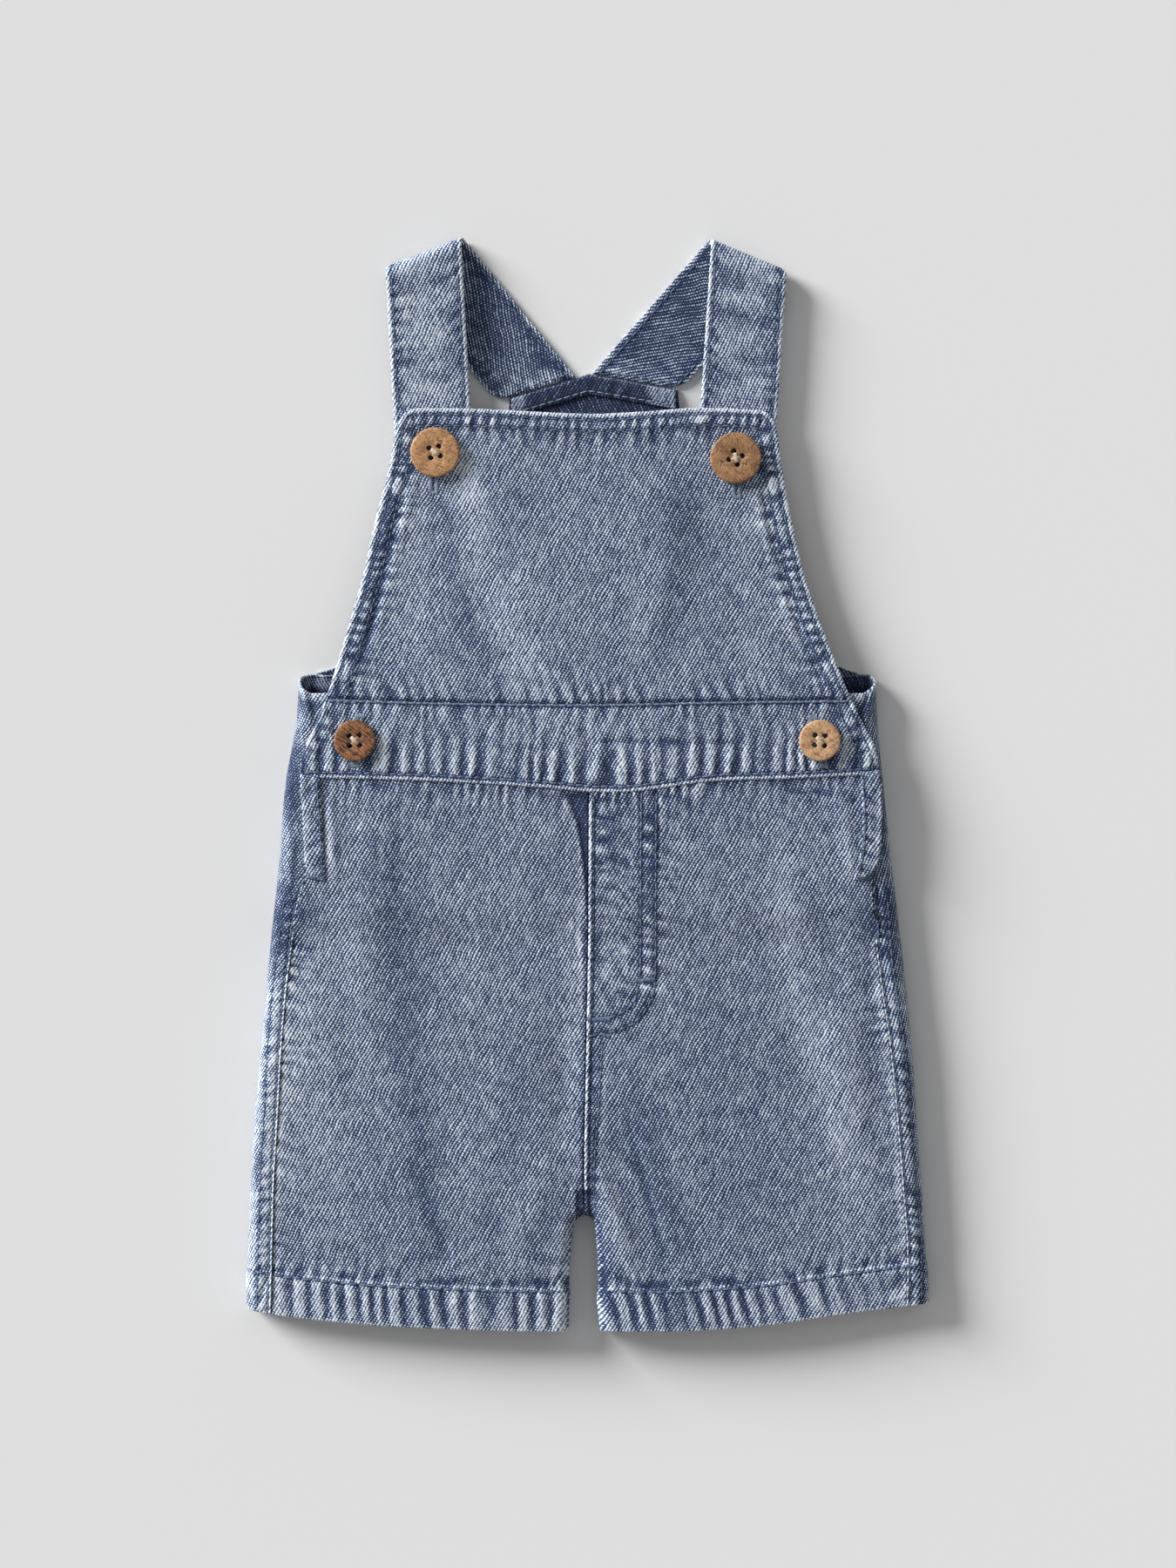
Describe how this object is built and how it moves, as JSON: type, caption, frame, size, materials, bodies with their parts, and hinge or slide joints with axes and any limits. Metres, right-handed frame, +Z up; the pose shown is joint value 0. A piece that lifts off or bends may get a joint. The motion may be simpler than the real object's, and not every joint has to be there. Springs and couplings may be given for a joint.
{
  "type": "shortalls",
  "caption": "Infant's denim dungaree shorts with a bib, folded-over shoulder straps and coconut buttons, laid flat on the back with the front facing up.",
  "frame": {"origin": "on the surface that the garment lies on, under the centre of its bounding box", "axes": "+X towards the right as seen from above, which is the wearer's left; +Y from the hems towards the shoulders; +Z up, out of the front"},
  "size_m": [0.2506, 0.4023, 0.0168],
  "materials": {
    "denim": "washed light blue denim, right side",
    "denim_inside": "darker denim, inside of the back",
    "coconut": "polished coconut shell"
  },
  "bodies": {
    "root": {"front_bib": "denim", "front_waistband": "denim", "front_leg_left": "denim", "front_leg_right": "denim", "side_placket_left": "denim", "side_placket_right": "denim", "back_leg_left": "denim", "back_leg_right": "denim", "back_bib": "denim_inside", "back_yoke": "denim_inside", "yoke_facing": "denim_inside", "strap_left": "denim", "strap_right": "denim", "button_bib_left": "coconut", "button_bib_right": "coconut", "button_waist_left": "coconut", "button_waist_right": "coconut"}
  },
  "joints": []
}
